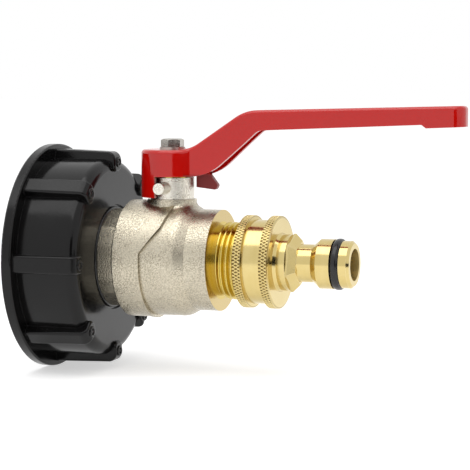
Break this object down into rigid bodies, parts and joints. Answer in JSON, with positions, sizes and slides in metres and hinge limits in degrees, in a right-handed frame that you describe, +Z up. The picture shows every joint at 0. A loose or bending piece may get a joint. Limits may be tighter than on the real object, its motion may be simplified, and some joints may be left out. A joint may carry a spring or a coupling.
{
  "type": "ibc tank valve",
  "caption": "Quarter-turn ball valve with a ribbed black screw cap for a tank outlet, a red lever and a brass hose connector.",
  "frame": {"origin": "centre of the screw cap's open mouth, on the flow axis", "axes": "+X along the flow towards the hose spigot, +Z up along the valve stem, +Y away from the side with the stop lug"},
  "size_m": [0.1493, 0.078, 0.0921],
  "materials": {
    "black_plastic": "satin moulded",
    "rubber": "smooth",
    "nickel": "sandblasted and plated",
    "white_seal": "smooth",
    "chromed_ball": "polished",
    "brass": "turned",
    "red_paint": "gloss",
    "zinc_steel": "zinc plated"
  },
  "bodies": {
    "valve": {"cap": "black_plastic", "cap_gasket": "rubber", "collar_seal": "rubber", "inlet_connector": "nickel", "body_seal": "white_seal", "valve_body": "nickel", "inlet_seat": "white_seal", "outlet_seat": "white_seal", "thrust_washer": "white_seal", "lower_packing": "white_seal", "upper_packing": "white_seal", "gland_nut": "brass", "tap_connector": "brass", "tap_gasket": "rubber", "spigot_ring": "rubber"},
    "handle": {"lever": "red_paint", "lever_washer": "zinc_steel", "lever_screw": "zinc_steel", "stem": "brass", "stem_rings": "rubber"},
    "closure": {"ball": "chromed_ball"}
  },
  "joints": [
    {"name": "lever_turn", "type": "hinge", "parent": "valve", "child": "handle", "pos_m": [0.0465, 0, 0], "axis": [0, 0, 1], "range_deg": [-90, 0]},
    {"name": "ball_turn", "type": "hinge", "parent": "valve", "child": "closure", "pos_m": [0.0465, 0, 0], "axis": [0, 0, 1], "range_deg": [-90, 0]}
  ],
  "couplings": [
    {"joint": "ball_turn", "follows": "lever_turn", "ratio": 1}
  ]
}
